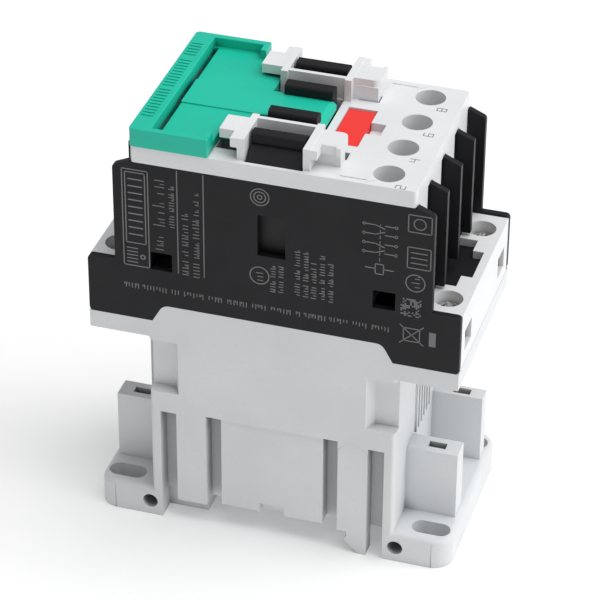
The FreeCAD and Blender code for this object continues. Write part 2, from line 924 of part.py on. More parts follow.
def slide_cover():
    """The coloured guard over the line-side screws; its tongue slides under the inner rails."""
    base = [
        ("-guard_left", "-guard_half"),
        ("-guard_right", "-guard_half"),
        ("-guard_right", "-guard_step_half"),
        ("-guard_step_right", "-guard_step_half"),
        ("-guard_step_right", "guard_step_half"),
        ("-guard_right", "guard_step_half"),
        ("-guard_right", "guard_half"),
        ("-guard_left", "guard_half"),
    ]
    tongue = [
        ("-guard_slot_right", "guard_low"),
        ("guard_tongue_reach", "guard_low"),
        ("guard_tongue_reach", "guard_bevel_low"),
        ("guard_bevel_start", "guard_tongue_top"),
        ("-guard_slot_right", "guard_tongue_top"),
    ]
    rim = "guard_floor - 0.5", "guard_top"
    parts = [
        prism("XY", base, ("guard_low", "guard_floor"), "corner_round", (0, 7)),
        prism("XZ", tongue, both("guard_tongue_half")),
        prism(
            "XY",
            rectangle(("-guard_left", "-guard_half"), ("-guard_grip_right", "guard_half")),
            rim,
            "corner_round",
            (0, 3),
        ),
    ]
    for side in SIDES.values():
        edge = ordered(side, "guard_half - guard_rim", "guard_half")
        parts.append(block(("-guard_grip_right - 0.5", "-guard_right"), edge, rim))
        ear = ordered(side, "guard_ear_low", "guard_half")
        parts.append(block(("-guard_right - guard_ear_wide", "-guard_right"), ear, rim))
    slot = block(
        ("-guard_grip_right", "-guard_slot_right"),
        both("guard_slot_half"),
        ("guard_low - 1", "guard_top + 1"),
    )
    name_piece(cut(fuse(*parts), slot), "slide_cover")


# ---- end shrouds and coil terminals ---------------------------------------------------------


def end_shroud():
    """The load-side block around two coil terminals."""
    low = "band_top + fit_gap"
    body = prism(
        "XY",
        rectangle(("shroud_inner", "-shroud_half"), ("shoulder_reach - fit_gap", "shroud_half")),
        (low, "shroud_top"),
    )
    cuts = [
        block(
            ("shroud_inner - 1", "tongue_reach + 0.1"), both("tongue_half + 0.1"), ("0", "shroud_top + 1")
        ),
        block(
            ("shroud_inner - 1", "tongue_root_reach + 0.1"),
            both("tongue_root_half + 0.1"),
            ("0", "shroud_top + 1"),
        ),
    ]
    for side in SIDES.values():
        across = f"{side} * coil_screw_across"
        centre = ("coil_screw_along", across)
        cuts.append(rod("z", centre, "coil_well_radius", ("coil_well_floor - 1", "shroud_top + 1")))
        bay = ("shroud_inner - 1", "shoulder_reach - 1.2")
        cuts.append(block(bay, around(across, "coil_bay_half"), ("band_low", "coil_well_floor")))
        gate = ("shoulder_reach - 2", "shoulder_reach + 1")
        height = ("wire_gate_low", "wire_gate_high")
        cuts.append(block(gate, around(across, "wire_gate_half"), height))
    return cut(body, *cuts)


def coil_terminal_plate(end, side):
    across = around(f"{side} * coil_screw_across", "coil_plate_half")
    top = "coil_plate_low + coil_plate_thick"
    flat = block(ordered(end, "shroud_inner + 0.1", "coil_screw_along + 3"), across, ("coil_plate_low", top))
    leg = block(
        ordered(end, "shroud_inner + 0.1", "shroud_inner + 0.1 + coil_plate_thick"),
        across,
        ("lead_top", top),
    )
    centre = (f"{end} * coil_screw_along", f"{side} * coil_screw_across")
    hole = rod("z", centre, "coil_shank_radius + fit_gap", ("coil_plate_low - 1", f"{top} + 1"))
    return cut(fuse(flat, leg), hole)


def coil_lead(end, side):
    """A square connecting strip from the bobbin to one coil terminal plate."""
    width = around(f"{side} * coil_screw_across", "lead_half")
    rise = block(around(f"{end} * lead_along", "lead_half"), width, ("bobbin_high", "lead_level + lead_half"))
    run = block(ordered(end, "lead_along", "lead_end"), width, around("lead_level", "lead_half"))
    stub = block(around(f"{end} * lead_end", "lead_half"), width, ("lead_level - lead_half", "lead_top"))
    return fuse(rise, run, stub)


def screw(centre, head_radius, head_low, head_top, shank_radius, shank_low):
    """A cross-recess terminal screw, head up."""
    head = rod("z", centre, head_radius, (head_low, head_top))
    shank = rod("z", centre, shank_radius, (shank_low, f"{head_low} + 0.5"))
    along, across = centre
    recess_height = (f"{head_top} - recess_deep", f"{head_top} + 1")
    long_span = around(along, "recess_long / 2"), around(across, "recess_wide / 2")
    wide_span = around(along, "recess_wide / 2"), around(across, "recess_long / 2")
    return cut(fuse(head, shank), block(*long_span, recess_height), block(*wide_span, recess_height))


def clamp(centre, half, low, thick, hole_radius):
    """The captive pressure plate under a terminal screw."""
    along, across = centre
    plate = block(around(along, half), around(across, half), (low, f"{low} + {thick}"))
    return cut(plate, rod("z", centre, hole_radius, (f"{low} - 1", f"{low} + {thick} + 1")))


def coil_terminals():
    shroud = end_shroud()
    name_piece(shroud, "load_end_shroud")
    name_piece(mirror(shroud, "x"), "line_end_shroud")
    spots = [(end, side) for end in ENDS.values() for side in SIDES.values()]
    name_piece(group(*[coil_terminal_plate(*spot) for spot in spots]), "coil_terminal_plates")
    name_piece(group(*[coil_lead(*spot) for spot in spots]), "coil_leads")
    head_low = "coil_clamp_low + coil_clamp_thick + fit_gap"
    for end_name, end in ENDS.items():
        for side_name, side in SIDES.items():
            centre = (f"{end} * coil_screw_along", f"{side} * coil_screw_across")
            turned = screw(
                centre, "coil_head_radius", head_low, "coil_head_top", "coil_shank_radius", "coil_shank_low"
            )
            name_piece(turned, f"coil_screw_{end_name}_{side_name}")
            plate = clamp(
                centre,
                "coil_plate_half",
                "coil_clamp_low",
                "coil_clamp_thick",
                "(coil_shank_radius + fit_gap)",
            )
            name_piece(plate, f"coil_clamp_{end_name}_{side_name}")


# ---- main terminals and fixed contacts ------------------------------------------------------


def fixed_contact(end, pole):
    """A stepped strip from the screw terminal into the contact chamber."""
    inner_low = "open_strip_low" if pole in OPEN_POLES else "closed_strip_low"
    low, high = ("open_strip_low", "strip_terminal_low")
    if pole in CLOSED_POLES:
        low, high = ("strip_terminal_low", "closed_strip_low")
    across = around(pole_centre(pole), "strip_half")
    wall = ("chamber_reach - plate_wall", "chamber_reach")
    terminal_height = ("strip_terminal_low", "strip_terminal_low + strip_thick")
    terminal = block(ordered(end, "chamber_reach - 0.5", "strip_reach"), across, terminal_height)
    step = block(ordered(end, *wall), across, (low, f"{high} + strip_thick"))
    along = ordered(end, "strip_inner_end", "chamber_reach - 1")
    inner = block(along, across, (inner_low, f"{inner_low} + strip_thick"))
    centre = (f"{end} * main_screw_along", pole_centre(pole))
    span = ("strip_terminal_low - 1", "strip_terminal_low + strip_thick + 1")
    hole = rod("z", centre, "main_shank_radius + fit_gap", span)
    return cut(fuse(terminal, step, inner), hole)


def fixed_tip(end, pole):
    low = "open_strip_low + strip_thick" if pole in OPEN_POLES else "closed_strip_low - tip_thick"
    centre = (f"{end} * tip_along", pole_centre(pole))
    return rod("z", centre, "tip_radius", (low, f"{low} + tip_thick"))


def main_terminals():
    for end_name, end in ENDS.items():
        contacts = [fixed_contact(end, pole) for pole in POLES]
        name_piece(group(*contacts), f"{end_name}_contacts")
    tips = [fixed_tip(end, pole) for end in ENDS.values() for pole in POLES]
    name_piece(group(*tips), "fixed_contact_tips")
    head_low = "main_clamp_low + main_clamp_thick + fit_gap"
    for end_name, end in ENDS.items():
        for number, pole in enumerate(POLES, start=1):
            centre = (f"{end} * main_screw_along", pole_centre(pole))
            turned = screw(
                centre, "main_head_radius", head_low, "main_head_top", "main_shank_radius", "main_shank_low"
            )
            name_piece(turned, f"{end_name}_screw_{number}")
            plate = clamp(
                centre,
                "main_clamp_half",
                "main_clamp_low",
                "main_clamp_thick",
                "(main_shank_radius + fit_gap)",
            )
            name_piece(plate, f"{end_name}_clamp_{number}")


# ---- magnet system --------------------------------------------------------------------------


def magnet_system():
    pad = block(both("pad_long"), both("pad_wide"), ("pad_low", "pad_high"))
    name_piece(pad, "shock_pad")
    cheek = ("yoke_low", "yoke_top - yoke_thick")
    outline = [
        ("-yoke_reach", cheek[0]),
        ("yoke_reach", cheek[0]),
        ("yoke_reach", cheek[1]),
        ("yoke_reach - yoke_thick", cheek[1]),
        ("yoke_reach - yoke_thick", "yoke_low + yoke_thick"),
        ("-yoke_reach + yoke_thick", "yoke_low + yoke_thick"),
        ("-yoke_reach + yoke_thick", cheek[1]),
        ("-yoke_reach", cheek[1]),
    ]
    name_piece(prism("XZ", outline, both("yoke_half")), "magnet_yoke")
    origin = ("0", "0")
    lid = block(both("yoke_reach"), both("yoke_half"), ("yoke_top - yoke_thick", "yoke_top"))
    bore = rod("z", origin, "bobbin_bore", ("yoke_top - yoke_thick - 1", "yoke_top + 1"))
    name_piece(cut(lid, bore), "yoke_top_plate")
    core = rod("z", origin, "core_radius", ("yoke_low + yoke_thick", "core_top"))
    name_piece(core, "fixed_core")
    coil_bobbin(origin)
    inner = "bobbin_tube + fit_gap"
    height = ("bobbin_low + bobbin_flange + fit_gap", "bobbin_high - bobbin_flange - fit_gap")
    winding = cut(rod("z", origin, "winding_radius", height), rod("z", origin, inner, ("0", "yoke_top")))
    name_piece(winding, "coil_winding")


def coil_bobbin(origin):
    flange = both("bobbin_long"), both("bobbin_wide")
    body = fuse(
        block(*flange, ("bobbin_low", "bobbin_low + bobbin_flange")),
        block(*flange, ("bobbin_high - bobbin_flange", "bobbin_high")),
        rod("z", origin, "bobbin_tube", ("bobbin_low", "bobbin_high")),
    )
    name_piece(cut(body, rod("z", origin, "bobbin_bore", ("0", "yoke_top"))), "coil_bobbin")


def plunger():
    origin = ("0", "0")
    body = rod("z", origin, "core_radius", ("plunger_low", "plunger_top"))
    neck = rod("z", origin, "plunger_neck", ("plunger_top - 1", "carrier_foot_top - 0.5"))
    pin_hole = rod("y", ("0", "joint_pin_height"), "joint_pin_radius + fit_gap", both("joint_pin_half"))
    name_piece(cut(fuse(body, neck), pin_hole), "armature_plunger")
    pin = rod("y", ("0", "joint_pin_height"), "joint_pin_radius", both("joint_pin_half - fit_gap"))
    name_piece(pin, "carrier_pin")


# ---- carrier and moving contacts ------------------------------------------------------------


def bar_window(pole):
    across = around(pole_centre(pole), "bar_window_half")
    if pole in OPEN_POLES:
        return block(both("carrier_half + 1"), across, ("open_window_low", "open_window_high"))
    return block(both("carrier_half + 1"), across, ("closed_window_low", "closed_window_high"))


def contact_carrier():
    foot_plate = block(
        both("carrier_foot_long"), both("carrier_foot_wide"), ("carrier_low", "carrier_foot_top")
    )
    column = block(both("carrier_half"), both("carrier_wide"), ("carrier_foot_top - 0.5", "carrier_arm_low"))
    arm = block(
        ("-carrier_half", "flag_right"), both("carrier_arm_half"), ("carrier_arm_low - 0.5", "carrier_top")
    )
    socket_floor = "carrier_low - 1"
    origin = ("0", "0")
    socket = rod("z", origin, "plunger_neck + fit_gap", (socket_floor, "carrier_foot_top - 0.4"))
    pin_bore = rod("y", ("0", "joint_pin_height"), "joint_pin_radius + fit_gap", both("joint_pin_half"))
    windows = [bar_window(pole) for pole in POLES]
    name_piece(cut(fuse(foot_plate, column, arm), socket, pin_bore, *windows), "contact_carrier")


def bridges(label, poles, low, tip_span):
    """The moving bars of two poles, and the silver tips riveted to their ends."""
    bars = []
    tips = []
    for pole in poles:
        across = around(pole_centre(pole), "bar_half_wide")
        bars.append(block(both("bar_half_long"), across, (low, f"{low} + bar_thick")))
        for end in ENDS.values():
            centre = (f"{end} * tip_along", pole_centre(pole))
            tips.append(rod("z", centre, "tip_radius", tip_span))
    name_piece(group(*bars), f"{label}_bridges")
    name_piece(group(*tips), f"{label}_bridge_tips")


def moving_contacts():
    open_tips = ("open_bar_low - bridge_tip_thick", "open_bar_low")
    bridges("open_pole", OPEN_POLES, "open_bar_low", open_tips)
    closed_top = "closed_bar_low + bar_thick"
    bridges("closed_pole", CLOSED_POLES, "closed_bar_low", (closed_top, f"{closed_top} + bridge_tip_thick"))


def add_coils(label, coil, places):
    """One sub-part made of equal coils, each standing at its own place."""
    item = document.addObject("Part::Feature", "Coil")
    item.Shape = Part.makeCompound([coil.translated(place) for place in places])
    item.Placement = Placement()
    name_piece(item, label)


def springs():
    length = SIZES["contact_spring_length"]
    gap = SIZES["fit_gap"]
    coil = spring(SIZES["contact_spring_radius"], SIZES["contact_spring_wire"], length, CONTACT_SPRING_TURNS)
    levels = {
        "open_pole_springs": (OPEN_POLES, SIZES["open_bar_low"] + SIZES["bar_thick"] + gap),
        "closed_pole_springs": (CLOSED_POLES, SIZES["closed_bar_low"] - gap - length),
    }
    for label, (poles, low) in levels.items():
        add_coils(label, coil, [Vector(0, pole * SIZES["pole_pitch"], low) for pole in poles])
    low = SIZES["return_spring_low"]
    length = SIZES["return_spring_high"] - low
    coil = spring(SIZES["return_spring_radius"], SIZES["return_spring_wire"], length, RETURN_SPRING_TURNS)
    add_coils("return_spring", coil, [Vector(0, 0, low)])


# ---- checks and output ----------------------------------------------------------------------


def check_document():
    for item in document.Objects:
        if "Invalid" in item.State or "Error" in item.State:
            raise RuntimeError(f"{item.Label} failed: {item.State}")
    for piece in pieces:
        if piece.Shape.isNull() or not piece.Shape.isValid() or not piece.Shape.Solids:
            raise RuntimeError(f"{piece.Label} has no valid solid")


def write_pieces():
    os.makedirs("parts", exist_ok=True)
    for piece in pieces:
        piece.Shape.exportStep(f"parts/{piece.Label}.step")
        print(piece.Label, len(piece.Shape.Solids), round(piece.Shape.Volume, 1))


write_sheet()
base_housing()
rail_snap_arms()
contact_chamber()
front_cover()
position_indicator()
slide_cover()
coil_terminals()
main_terminals()
magnet_system()
plunger()
contact_carrier()
moving_contacts()
springs()
document.recompute()
check_document()
write_pieces()
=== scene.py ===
"""Looks of a four-pole control contactor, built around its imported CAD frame. Lengths are in metres."""

import json
import math
import random

import bmesh
import bpy
from mathutils import Matrix, Vector


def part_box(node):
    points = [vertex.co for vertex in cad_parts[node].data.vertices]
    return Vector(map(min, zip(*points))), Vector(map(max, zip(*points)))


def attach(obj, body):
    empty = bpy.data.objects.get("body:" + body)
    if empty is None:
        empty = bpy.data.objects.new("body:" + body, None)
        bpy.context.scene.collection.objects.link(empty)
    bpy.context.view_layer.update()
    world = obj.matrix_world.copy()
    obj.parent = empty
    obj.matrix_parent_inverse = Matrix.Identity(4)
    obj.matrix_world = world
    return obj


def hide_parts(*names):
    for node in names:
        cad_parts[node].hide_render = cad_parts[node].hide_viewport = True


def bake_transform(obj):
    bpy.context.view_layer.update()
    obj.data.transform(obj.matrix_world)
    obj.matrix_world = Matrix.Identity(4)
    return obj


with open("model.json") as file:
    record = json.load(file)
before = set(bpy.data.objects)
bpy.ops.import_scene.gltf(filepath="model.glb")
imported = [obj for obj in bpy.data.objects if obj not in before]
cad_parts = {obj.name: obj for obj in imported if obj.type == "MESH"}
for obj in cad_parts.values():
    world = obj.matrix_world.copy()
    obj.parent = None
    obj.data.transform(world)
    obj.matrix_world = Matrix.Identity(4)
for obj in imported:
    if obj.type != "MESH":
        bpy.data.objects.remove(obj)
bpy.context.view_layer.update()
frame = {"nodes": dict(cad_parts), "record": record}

MM = 0.001
NODES = frame["nodes"]
GRAIN = random.Random(7)

# ---- materials --------------------------------------------------------------------------------


def srgb(red, green, blue):
    """Linear colour of an 8-bit screen colour."""
    channels = []
    for value in (red, green, blue):
        share = value / 255
        channels.append(share / 12.92 if share <= 0.04045 else ((share + 0.055) / 1.055) ** 2.4)
    return (*channels, 1.0)


def shade(color, amount):
    """A colour made lighter or darker by a factor."""
    return (*[min(1.0, channel * amount) for channel in color[:3]], 1.0)


EDGE_RANGE = (0.99, 0.80)
HOLLOW_RANGE = (0.48, 0.22)
HOLLOW_REACH = 5 * MM
PLASTIC_EDGE = 0.35 * MM
METAL_EDGE = 0.2 * MM
GRAIN_DEPTH = 0.03 * MM
WAVE_DEPTH = 0.12 * MM
BRUSH_DEPTH = 0.02 * MM


class Surface:
    """One procedural material, with short calls for the nodes it is made of."""

    def __init__(self, name):
        self.material = bpy.data.materials.new(name)
        self.material.use_nodes = True
        self.tree = self.material.node_tree
        self.shader = self.tree.nodes["Principled BSDF"]
        self.place = self.node("ShaderNodeTexCoord").outputs["Object"]

    def node(self, kind, **settings):
        made = self.tree.nodes.new(kind)
        for key, value in settings.items():
            setattr(made, key, value)
        return made

    def feed(self, target, value):
        """Joins an output to an input, or sets the input to a plain value."""
        if isinstance(value, bpy.types.NodeSocket):
            self.tree.links.new(value, target)
        else:
            target.default_value = value

    def noise(self, scale, detail=2.0, stretch=None):
        place = self.place
        if stretch:
            mapping = self.node("ShaderNodeMapping")
            self.feed(mapping.inputs["Vector"], place)
            mapping.inputs["Scale"].default_value = stretch
            place = mapping.outputs["Vector"]
        made = self.node("ShaderNodeTexNoise")
        self.feed(made.inputs["Vector"], place)
        made.inputs["Scale"].default_value = scale
        made.inputs["Detail"].default_value = detail
        return made.outputs["Fac"]

    def spread(self, value, low, high, out_low=0.0, out_high=1.0):
        made = self.node("ShaderNodeMapRange")
        self.feed(made.inputs["Value"], value)
        limits = {"From Min": low, "From Max": high, "To Min": out_low, "To Max": out_high}
        for key, number in limits.items():
            made.inputs[key].default_value = number
        return made.outputs["Result"]

    def math(self, operation, first, second):
        made = self.node("ShaderNodeMath", operation=operation)
        self.feed(made.inputs[0], first)
        self.feed(made.inputs[1], second)
        return made.outputs["Value"]

    def mix(self, share, first, second):
        made = self.node("ShaderNodeMix", data_type="RGBA")
        self.feed(made.inputs["Factor"], share)
        self.feed(made.inputs[6], first)
        self.feed(made.inputs[7], second)
        return made.outputs[2]

    def edges(self, radius):
        """1 on edges and corners rounder than the face around them, 0 on the open face."""
        rounded = self.node("ShaderNodeBevel", samples=4)
        rounded.inputs["Radius"].default_value = radius
        geometry = self.node("ShaderNodeNewGeometry")
        dot = self.node("ShaderNodeVectorMath", operation="DOT_PRODUCT")
        self.feed(dot.inputs[0], rounded.outputs["Normal"])
        self.feed(dot.inputs[1], geometry.outputs["Normal"])
        return self.spread(dot.outputs["Value"], *EDGE_RANGE)

    def hollows(self, reach):
        """1 deep inside slots and pockets narrower than the reach, 0 on the open face."""
        occlusion = self.node("ShaderNodeAmbientOcclusion", samples=6)
        occlusion.inputs["Distance"].default_value = reach
        return self.spread(occlusion.outputs["AO"], *HOLLOW_RANGE)

    def bump(self, height, distance, strength=1.0, under=None):
        made = self.node("ShaderNodeBump")
        self.feed(made.inputs["Height"], height)
        made.inputs["Distance"].default_value = distance
        made.inputs["Strength"].default_value = strength
        if under is not None:
            self.feed(made.inputs["Normal"], under)
        return made.outputs["Normal"]

    def finish(self, color, rough, normal=None, metallic=0.0):
        self.feed(self.shader.inputs["Base Color"], color)
        self.feed(self.shader.inputs["Roughness"], rough)
        self.shader.inputs["Metallic"].default_value = metallic
        if normal is not None:
            self.feed(self.shader.inputs["Normal"], normal)
        return self.material


def moulded(name, color, rough, grain, edge_wear_and_highlight=1.12, edge_wear_and_highlight_share=0.5, variation=0.04, sheen=0.4, cavity_shade=0.0):
    """Moulded plastic: faint flow clouding, fine grain, edges lightened partly as rubbed wear and partly as
    painted highlight, and slots darkened with painted shade.
    """
    surface = Surface(name)
    clouds = surface.spread(surface.noise(45, 3), 0.3, 0.7)
    base = surface.mix(clouds, shade(color, 1 - variation), shade(color, 1 + variation))
    specks = surface.spread(surface.noise(900, 2), 0.55, 0.75, 0.0, 0.35)
    base = surface.mix(specks, base, shade(color, 1 - 2 * variation))
    # Edges lightened in patches: partly rubbed wear, partly painted highlight where edges catch the light
    # (strongest on the black chamber).
    edge_patches = surface.spread(surface.noise(260, 4), 0.45, 0.62)
    lighter_edges = surface.math("MULTIPLY", surface.edges(PLASTIC_EDGE), edge_patches)
    lighter_edges = surface.math("MULTIPLY", lighter_edges, edge_wear_and_highlight_share)
    base = surface.mix(lighter_edges, base, shade(color, edge_wear_and_highlight))
    # Painted shade: slots and pockets darkened through an occlusion mask, standing in for the shade that
    # falls in them.
    if cavity_shade:
        painted_cavity_shade = surface.math("MULTIPLY", surface.hollows(HOLLOW_REACH), cavity_shade)
        base = surface.mix(painted_cavity_shade, base, shade(color, 0.1))
    texture = surface.bump(surface.noise(3200, 2), GRAIN_DEPTH, grain)
    waves = surface.bump(surface.noise(70, 1), WAVE_DEPTH, 0.25, texture)
    gloss = surface.spread(surface.noise(150, 3), 0.3, 0.7, rough - 0.05, rough + 0.06)
    material = surface.finish(base, gloss, waves)
    surface.shader.inputs["IOR"].default_value = 1.5
    surface.shader.inputs["Specular IOR Level"].default_value = sheen
    return material


def metal(name, color, tint, rough, brush=(1, 1, 1), scratch=0.4, patch=240):
    """Plated or bare metal: brushed lines, tarnish in patches, brighter edges."""
    surface = Surface(name)
    patches = surface.spread(surface.noise(patch, 4), 0.35, 0.7)
    base = surface.mix(patches, color, tint)
    # Edges made a quarter lighter.
    lighter_edges = surface.math("MULTIPLY", surface.edges(METAL_EDGE), 0.6)
    base = surface.mix(lighter_edges, base, shade(color, 1.25))
    lines = surface.noise(1500, 3, brush)
    normal = surface.bump(lines, BRUSH_DEPTH, scratch)
    gloss = surface.spread(surface.noise(420, 3), 0.3, 0.7, rough - 0.07, rough + 0.1)
    return surface.finish(base, gloss, normal, 1.0)


# The last argument of each plastic paints shade into its slots and pockets; the fifth lightens edges, partly
# as wear and partly as painted highlight.
MATERIALS = {
    "cover_grey": moulded("cover_grey", srgb(226, 227, 229), 0.42, 0.25, 1.08, cavity_shade=0.2),
    "housing_grey": moulded("housing_grey", srgb(217, 219, 221), 0.46, 0.3, 1.1, cavity_shade=0.75),
    "chamber_black": moulded("chamber_black", srgb(26, 26, 29), 0.5, 0.35, 4.5, 0.7, 0.08, 0.22, 0.8),
    "guard_green": moulded("guard_green", srgb(22, 192, 164), 0.42, 0.22, 1.3, cavity_shade=1.0),
    "indicator_red": moulded("indicator_red", srgb(244, 52, 46), 0.4, 0.2, 1.15),
    "carrier_plastic": moulded("carrier_plastic", srgb(24, 23, 24), 0.55, 0.4, 2.0),
    "bobbin_plastic": moulded("bobbin_plastic", srgb(228, 224, 210), 0.5, 0.3, 1.1),
    "pad_rubber": moulded("pad_rubber", srgb(34, 34, 36), 0.8, 0.8, 1.6),
    "magnet_steel": metal("magnet_steel", srgb(150, 150, 155), srgb(120, 118, 120), 0.38, (1, 1, 12)),
    "screw_steel": metal("screw_steel", srgb(244, 244, 240), srgb(132, 128, 116), 0.2, (1, 1, 1), 1.5, 1300),
    "clamp_steel": metal("clamp_steel", srgb(205, 206, 204), srgb(180, 176, 160), 0.28, (1, 9, 1), 0.4),
    "spring_steel": metal("spring_steel", srgb(190, 192, 196), srgb(150, 150, 155), 0.26, (1, 1, 1), 0.25),
    "copper_strip": metal("copper_strip", srgb(205, 128, 92), srgb(170, 98, 66), 0.3, (10, 1, 1), 0.4),
    "winding_copper": metal("winding_copper", srgb(190, 92, 46), srgb(150, 62, 28), 0.3, (1, 1, 1), 0.2),
    "brass": metal("brass", srgb(205, 170, 96), srgb(176, 138, 70), 0.3, (9, 1, 1), 0.4),
    "pale_print": moulded("pale_print", srgb(118, 117, 119), 0.55, 0.1, 1.0, 0.0, 0.12),
    "grey_print": moulded("grey_print", srgb(120, 122, 126), 0.55, 0.1, 1.0, 0.0, 0.1),
    "silver_tip": metal("silver_tip", srgb(222, 222, 224), srgb(186, 184, 180), 0.3, (1, 1, 1), 0.3),
}

# ---- CAD nodes --------------------------------------------------------------------------------


def smooth_by_angle(angle):
    """A node group that shades faces smooth and keeps edges sharper than the angle."""
    group = bpy.data.node_groups.new("smooth_by_angle", "GeometryNodeTree")
    group.interface.new_socket("Geometry", in_out="INPUT", socket_type="NodeSocketGeometry")
    group.interface.new_socket("Geometry", in_out="OUTPUT", socket_type="NodeSocketGeometry")
    nodes, links = group.nodes, group.links
    start = nodes.new("NodeGroupInput")
    end = nodes.new("NodeGroupOutput")
    smooth = nodes.new("GeometryNodeSetShadeSmooth")
    smooth.domain = "FACE"
    smooth.inputs["Shade Smooth"].default_value = True
    sharp = nodes.new("GeometryNodeSetShadeSmooth")
    sharp.domain = "EDGE"
    sharp.inputs["Shade Smooth"].default_value = False
    measure = nodes.new("GeometryNodeInputMeshEdgeAngle")
    compare = nodes.new("FunctionNodeCompare")
    compare.data_type = "FLOAT"
    compare.operation = "GREATER_THAN"
    compare.inputs[1].default_value = math.radians(angle)
    links.new(measure.outputs["Unsigned Angle"], compare.inputs[0])
    links.new(compare.outputs["Result"], sharp.inputs["Selection"])
    links.new(start.outputs[0], smooth.inputs["Geometry"])
    links.new(smooth.outputs[0], sharp.inputs["Geometry"])
    links.new(sharp.outputs[0], end.inputs[0])
    return group


SHARP_ANGLE = 38
FLAT_ANGLE = 0.4
WELD_REACH = 0.001 * MM
SMOOTH = smooth_by_angle(SHARP_ANGLE)


def soften(node, width, segments=2):
    """Rounds the edges of a CAD node with modifiers, leaving its mesh as imported."""
    weld = node.modifiers.new("weld", "WELD")
    weld.merge_threshold = WELD_REACH
    flat = node.modifiers.new("flat", "DECIMATE")
    flat.decimate_type = "DISSOLVE"
    flat.angle_limit = math.radians(FLAT_ANGLE)
    if width:
        bevel = node.modifiers.new("edges", "BEVEL")
        bevel.width = width
        bevel.segments = segments
        bevel.limit_method = "ANGLE"
        bevel.angle_limit = math.radians(SHARP_ANGLE)
        bevel.miter_outer = "MITER_SHARP"
        bevel.use_clamp_overlap = True
    smooth = node.modifiers.new("smooth", "NODES")
    smooth.node_group = SMOOTH
    normals = node.modifiers.new("normals", "WEIGHTED_NORMAL")
    normals.keep_sharp = True


EDGE_WIDTHS = {
    "housing_grey": 0.22 * MM,
    "cover_grey": 0.14 * MM,
    "chamber_black": 0.2 * MM,
    "guard_green": 0.25 * MM,
    "indicator_red": 0.15 * MM,
    "screw_steel": 0.12 * MM,
    "clamp_steel": 0.15 * MM,
}
PLAIN_EDGE = 0.1 * MM
UNROUNDED = {"rail_snap_arms", "open_pole_springs", "closed_pole_springs", "return_spring", "coil_winding"}


def finish_nodes():
    """Gives every CAD node its material and smooth shading, and rounded edges to all but the unrounded
    nodes.
    """
    for part in frame["record"]["subparts"]:
        name, slot = part["node"], part["material_slot"]
        node = NODES[name]
        node.data.materials.clear()
        node.data.materials.append(MATERIALS[slot])
        soften(node, 0 if name in UNROUNDED else EDGE_WIDTHS.get(slot, PLAIN_EDGE))


# ---- new pieces ---------------------------------------------------------------------------------


def add_piece(name, shape, slot, material=None):
    """A closed mesh as a new object with a slot and a material."""
    bmesh.ops.recalc_face_normals(shape, faces=shape.faces)
    data = bpy.data.meshes.new(name)
    shape.to_mesh(data)
    shape.free()
    data.materials.append(MATERIALS[material or slot])
    piece = bpy.data.objects.new(name, data)
    bpy.context.scene.collection.objects.link(piece)
    return piece


def shade_smooth(piece):
    smooth = piece.modifiers.new("smooth", "NODES")
    smooth.node_group = SMOOTH


def add_rings(shape, rings):
    """Closes a run of equal rings of points into one skin with capped ends."""
    loops = [[shape.verts.new(point) for point in ring] for ring in rings]
    count = len(loops[0])
    for lower, upper in zip(loops, loops[1:]):
        for index in range(count):
            after = (index + 1) % count
            shape.faces.new((lower[index], lower[after], upper[after], upper[index]))
    shape.faces.new(list(reversed(loops[0])))
    shape.faces.new(loops[-1])


def turned(radius_at, heights, centre, count):
    """Rings about a vertical axis; the radius may vary with height and angle."""
    rings = []
    for height in heights:
        ring = []
        for index in range(count):
            angle = 2 * math.pi * index / count
            radius = radius_at(height, angle)
            ring.append(centre + Vector((radius * math.cos(angle), radius * math.sin(angle), height)))
        rings.append(ring)
    return rings


# ---- screws -------------------------------------------------------------------------------------

HEAD_DOME = ((1.0, 0.0), (1.0, 0.45), (0.96, 0.62), (0.86, 0.78), (0.7, 0.9), (0.48, 0.97), (0.22, 1.0))
THREAD_COUNT = 40
ROWS_PER_TURN = 8
CROSS_LONG = 3.7 * MM
CROSS_WIDE = 0.85 * MM
CROSS_DEEP = 1.3 * MM
THREAD_DEPTH = 0.54
POINT_SHARE = 0.55
POINT_HIGH = 0.5 * MM
THREAD_START = 0.6 * MM
NECK_HIGH = 0.3 * MM
HEAD_EDGE = 0.2 * MM


def thread_rings(core, crest, low, high, pitch):
    """Rings of a helical thread that runs out at both ends."""
    rows = round((high - low) / pitch * ROWS_PER_TURN)
    heights = [low + (high - low) * row / rows for row in range(rows + 1)]

    def radius_at(height, angle):
        phase = ((height - low) / pitch - angle / (2 * math.pi)) % 1.0
        tooth = 1 - abs(2 * phase - 1)
        run_out = min(1.0, (height - low) / pitch, (high - height) / pitch)
        return core + (crest - core) * tooth * max(0.0, run_out)

    return turned(radius_at, heights, Vector(), THREAD_COUNT)


def plain_ring(radius, height):
    return turned(lambda _height, _angle: radius, [height], Vector(), THREAD_COUNT)[0]


def cross_cutter(top):
    """The cross-shaped driver recess: two tapered wings and a centre cone."""
    shape = bmesh.new()
    for turn in (0, math.pi / 2):
        turning = Matrix.Rotation(turn, 3, "Z")
        rings = []
        for height, share in ((top + MM, 1.1), (top, 1.0), (top - CROSS_DEEP, 0.5)):
            half_long = CROSS_LONG / 2 * share
            half_wide = CROSS_WIDE / 2 * (0.4 + 0.6 * share)
            corners = ((-1, -1), (1, -1), (1, 1), (-1, 1))
            rings.append([turning @ Vector((x * half_long, y * half_wide, height)) for x, y in corners])
        add_rings(shape, rings)
    cone = [(top + MM, 0.34), (top, 0.3), (top - 1.3 * CROSS_DEEP, 0.09)]
    add_rings(shape, [plain_ring(share * CROSS_LONG, height) for height, share in cone])
    return shape


